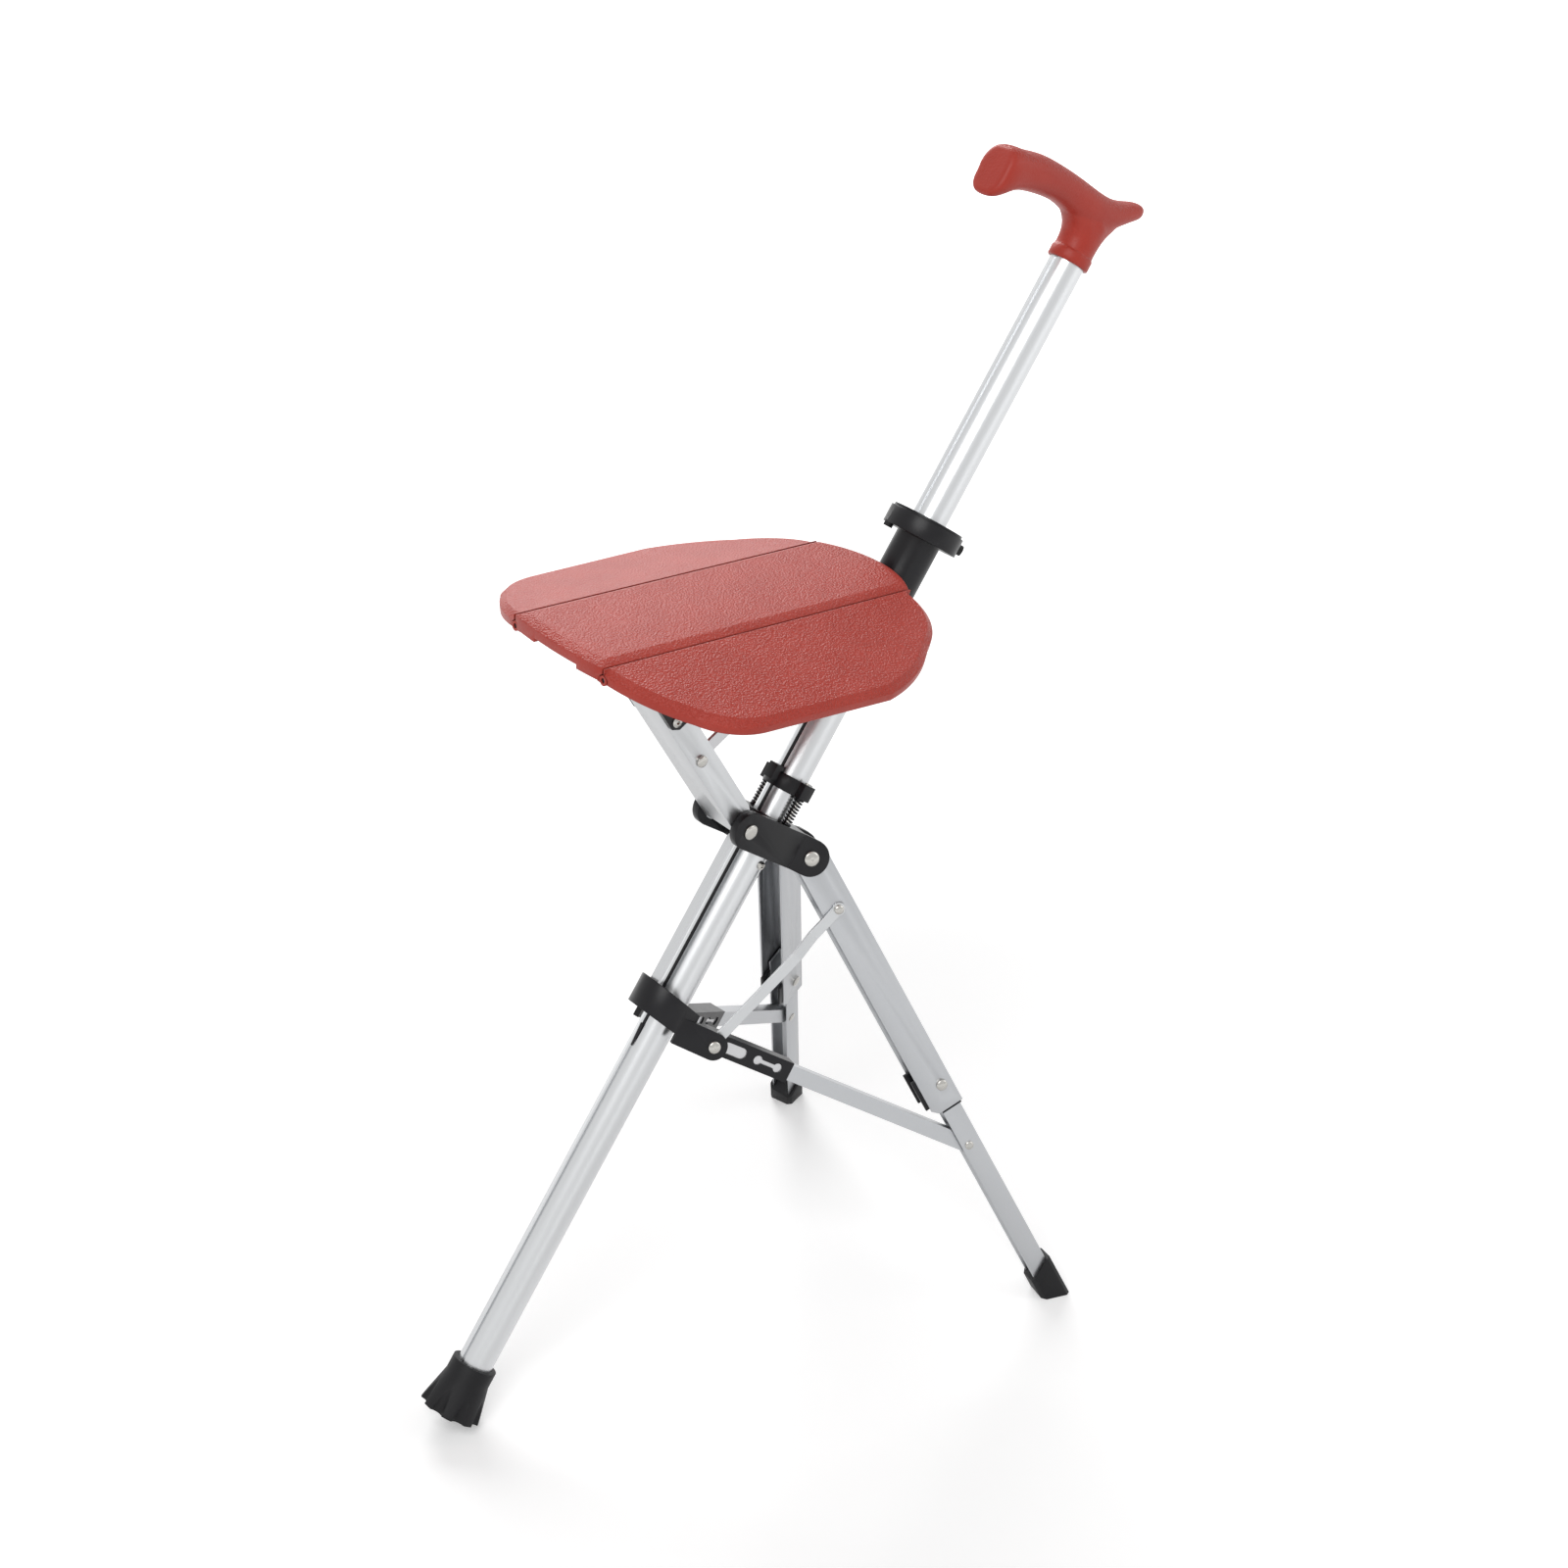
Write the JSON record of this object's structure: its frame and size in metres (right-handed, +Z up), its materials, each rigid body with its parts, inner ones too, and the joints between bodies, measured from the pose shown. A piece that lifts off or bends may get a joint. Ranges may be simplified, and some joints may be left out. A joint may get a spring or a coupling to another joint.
{
  "type": "folding walking stick seat",
  "caption": "Folding walking stick seat: leaning shaft with curved handle and flared rubber tip, hinged rear legs on a sliding collar, and a folding red panel seat.",
  "frame": {"origin": "on the floor, on the middle plane, under the centre of the whole object's box", "axes": "+Z up; +X from the stick's rubber tip toward the handle and the two legs; +Y toward the far leg; the object is a mirror image about y = 0"},
  "size_m": [0.5493, 0.2964, 0.7167],
  "materials": {
    "silver": "satin anodised",
    "steel": "zinc plated",
    "pin": "bright",
    "screw": "bright",
    "spring": "blackened wire",
    "black": "satin moulded",
    "button": "smooth",
    "ferrule_rubber": "moulded",
    "foot_rubber": "moulded",
    "red": "fine grain on top"
  },
  "bodies": {
    "stick": {"shaft_tube": "silver", "handle": "red", "ferrule": "ferrule_rubber", "ferrule_washer": "steel", "hub": "black", "arm_pin": "pin", "leg_pins": "pin", "hub_screws": "screw", "spring_rods": "steel", "near_spring": "spring", "far_spring": "spring"},
    "carriage": {"slider": "black", "slider_pins": "pin", "groove_strip": "black", "push_bar": "silver"},
    "collar": {"spring_collar": "black"},
    "arm": {"seat_arm": "silver", "arm_blocks": "black", "arm_screws": "screw", "brace_rivet": "pin"},
    "brace": {"brace_bars": "steel", "brace_shoe_pin": "steel"},
    "seat": {"centre_panel": "red", "seat_bracket": "steel", "bracket_screws": "screw", "seat_pivot_pins": "pin", "hinge_rods": "steel", "sleeve_hinge_pin": "pin"},
    "near_wing": {"near_wing": "red"},
    "far_wing": {"far_wing": "red"},
    "sleeve": {"sleeve": "black", "flange_plate": "steel"},
    "button": {"release_button": "button"},
    "near_leg": {"near_leg_upper": "silver", "near_leg_lower": "silver", "near_knee_liner": "black", "near_foot": "foot_rubber", "near_leg_rivets": "pin"},
    "near_link": {"near_link": "steel", "near_link_rivet": "pin"},
    "near_guide": {"near_guide": "black", "near_guide_liner": "steel"},
    "near_bar": {"near_leg_bar": "silver"},
    "far_leg": {"far_leg_upper": "silver", "far_leg_lower": "silver", "far_knee_liner": "black", "far_foot": "foot_rubber", "far_leg_rivets": "pin"},
    "far_link": {"far_link": "steel", "far_link_rivet": "pin"},
    "far_guide": {"far_guide": "black", "far_guide_liner": "steel"},
    "far_bar": {"far_leg_bar": "silver"}
  },
  "joints": [
    {"name": "arm_hinge", "type": "hinge", "parent": "stick", "child": "arm", "pos_m": [-0.04011, 0, 0.34956], "axis": [0, 1, 0], "range_deg": [0, 65.9]},
    {"name": "seat_hinge", "type": "hinge", "parent": "arm", "child": "seat", "pos_m": [-0.11072, 0, 0.47906], "axis": [0, 1, 0], "range_deg": [-127.6, 0]},
    {"name": "sleeve_hinge", "type": "hinge", "parent": "seat", "child": "sleeve", "pos_m": [0.04032, 0, 0.45514], "axis": [0, 1, 0], "range_deg": [0, 61.7]},
    {"name": "brace_hinge", "type": "hinge", "parent": "arm", "child": "brace", "pos_m": [-0.0706, 0, 0.40549], "axis": [0, 1, 0], "range_deg": [-90.21, 0]},
    {"name": "slider_slide", "type": "slide", "parent": "stick", "child": "carriage", "axis": [-0.606, 0, -0.7955], "range_m": [0, 0.02315]},
    {"name": "near_leg_hinge", "type": "hinge", "parent": "stick", "child": "near_leg", "pos_m": [0.00721, -0.01312, 0.31351], "axis": [0.3261, 0.9121, -0.2484], "range_deg": [0, 57.95]},
    {"name": "near_link_hinge", "type": "hinge", "parent": "carriage", "child": "near_link", "pos_m": [-0.07005, -0.01312, 0.21209], "axis": [0.3261, 0.9121, -0.2484], "range_deg": [-17.1, 0]},
    {"name": "near_guide_hinge", "type": "hinge", "parent": "carriage", "child": "near_guide", "pos_m": [-0.07005, -0.01312, 0.21209], "axis": [0.3261, 0.9121, -0.2484], "range_deg": [0, 92.09]},
    {"name": "near_bar_slide", "type": "slide", "parent": "near_guide", "child": "near_bar", "axis": [-0.7472, 0.4097, 0.5234], "range_m": [0, 0.11617]},
    {"name": "far_leg_hinge", "type": "hinge", "parent": "stick", "child": "far_leg", "pos_m": [0.00721, 0.01312, 0.31351], "axis": [-0.3261, 0.9121, 0.2484], "range_deg": [0, 57.95]},
    {"name": "far_link_hinge", "type": "hinge", "parent": "carriage", "child": "far_link", "pos_m": [-0.07005, 0.01312, 0.21209], "axis": [-0.3261, 0.9121, 0.2484], "range_deg": [-17.1, 0]},
    {"name": "far_guide_hinge", "type": "hinge", "parent": "carriage", "child": "far_guide", "pos_m": [-0.07005, 0.01312, 0.21209], "axis": [-0.3261, 0.9121, 0.2484], "range_deg": [0, 92.09]},
    {"name": "far_bar_slide", "type": "slide", "parent": "far_guide", "child": "far_bar", "axis": [-0.7472, -0.4097, 0.5234], "range_m": [0, 0.11617]},
    {"name": "near_wing_hinge", "type": "hinge", "parent": "seat", "child": "near_wing", "pos_m": [0.06009, -0.0417, 0.47803], "axis": [0.9962, 0, -0.0872], "range_deg": [0, 78]},
    {"name": "far_wing_hinge", "type": "hinge", "parent": "seat", "child": "far_wing", "pos_m": [0.06009, 0.0417, 0.47803], "axis": [-0.9962, 0, 0.0872], "range_deg": [0, 78]},
    {"name": "button_slide", "type": "slide", "parent": "sleeve", "child": "button", "axis": [-0.6889, 0.5, 0.5248], "range_m": [0, 0.003], "stiffness_N_per_m": 600, "springref_m": -0.002},
    {"name": "collar_slide", "type": "slide", "parent": "stick", "child": "collar", "axis": [-0.606, 0, -0.7955], "range_m": [0, 0.006], "stiffness_N_per_m": 900, "springref_m": -0.003, "deforming": ["near_spring", "far_spring"]}
  ],
  "couplings": [
    {"joint": "seat_hinge", "follows": "arm_hinge", "ratio": -1.9363},
    {"joint": "sleeve_hinge", "follows": "arm_hinge", "ratio": 0.93627},
    {"joint": "brace_hinge", "follows": "arm_hinge", "ratio": -1.3689},
    {"joint": "slider_slide", "follows": "arm_hinge", "m_per_rad": 0.020127},
    {"joint": "near_leg_hinge", "follows": "arm_hinge", "ratio": 0.87926},
    {"joint": "near_link_hinge", "follows": "arm_hinge", "ratio": -0.25945},
    {"joint": "near_guide_hinge", "follows": "arm_hinge", "ratio": 1.3974},
    {"joint": "near_bar_slide", "follows": "arm_hinge", "m_per_rad": 0.101},
    {"joint": "far_leg_hinge", "follows": "arm_hinge", "ratio": 0.87926},
    {"joint": "far_link_hinge", "follows": "arm_hinge", "ratio": -0.25945},
    {"joint": "far_guide_hinge", "follows": "arm_hinge", "ratio": 1.3974},
    {"joint": "far_bar_slide", "follows": "arm_hinge", "m_per_rad": 0.101}
  ]
}
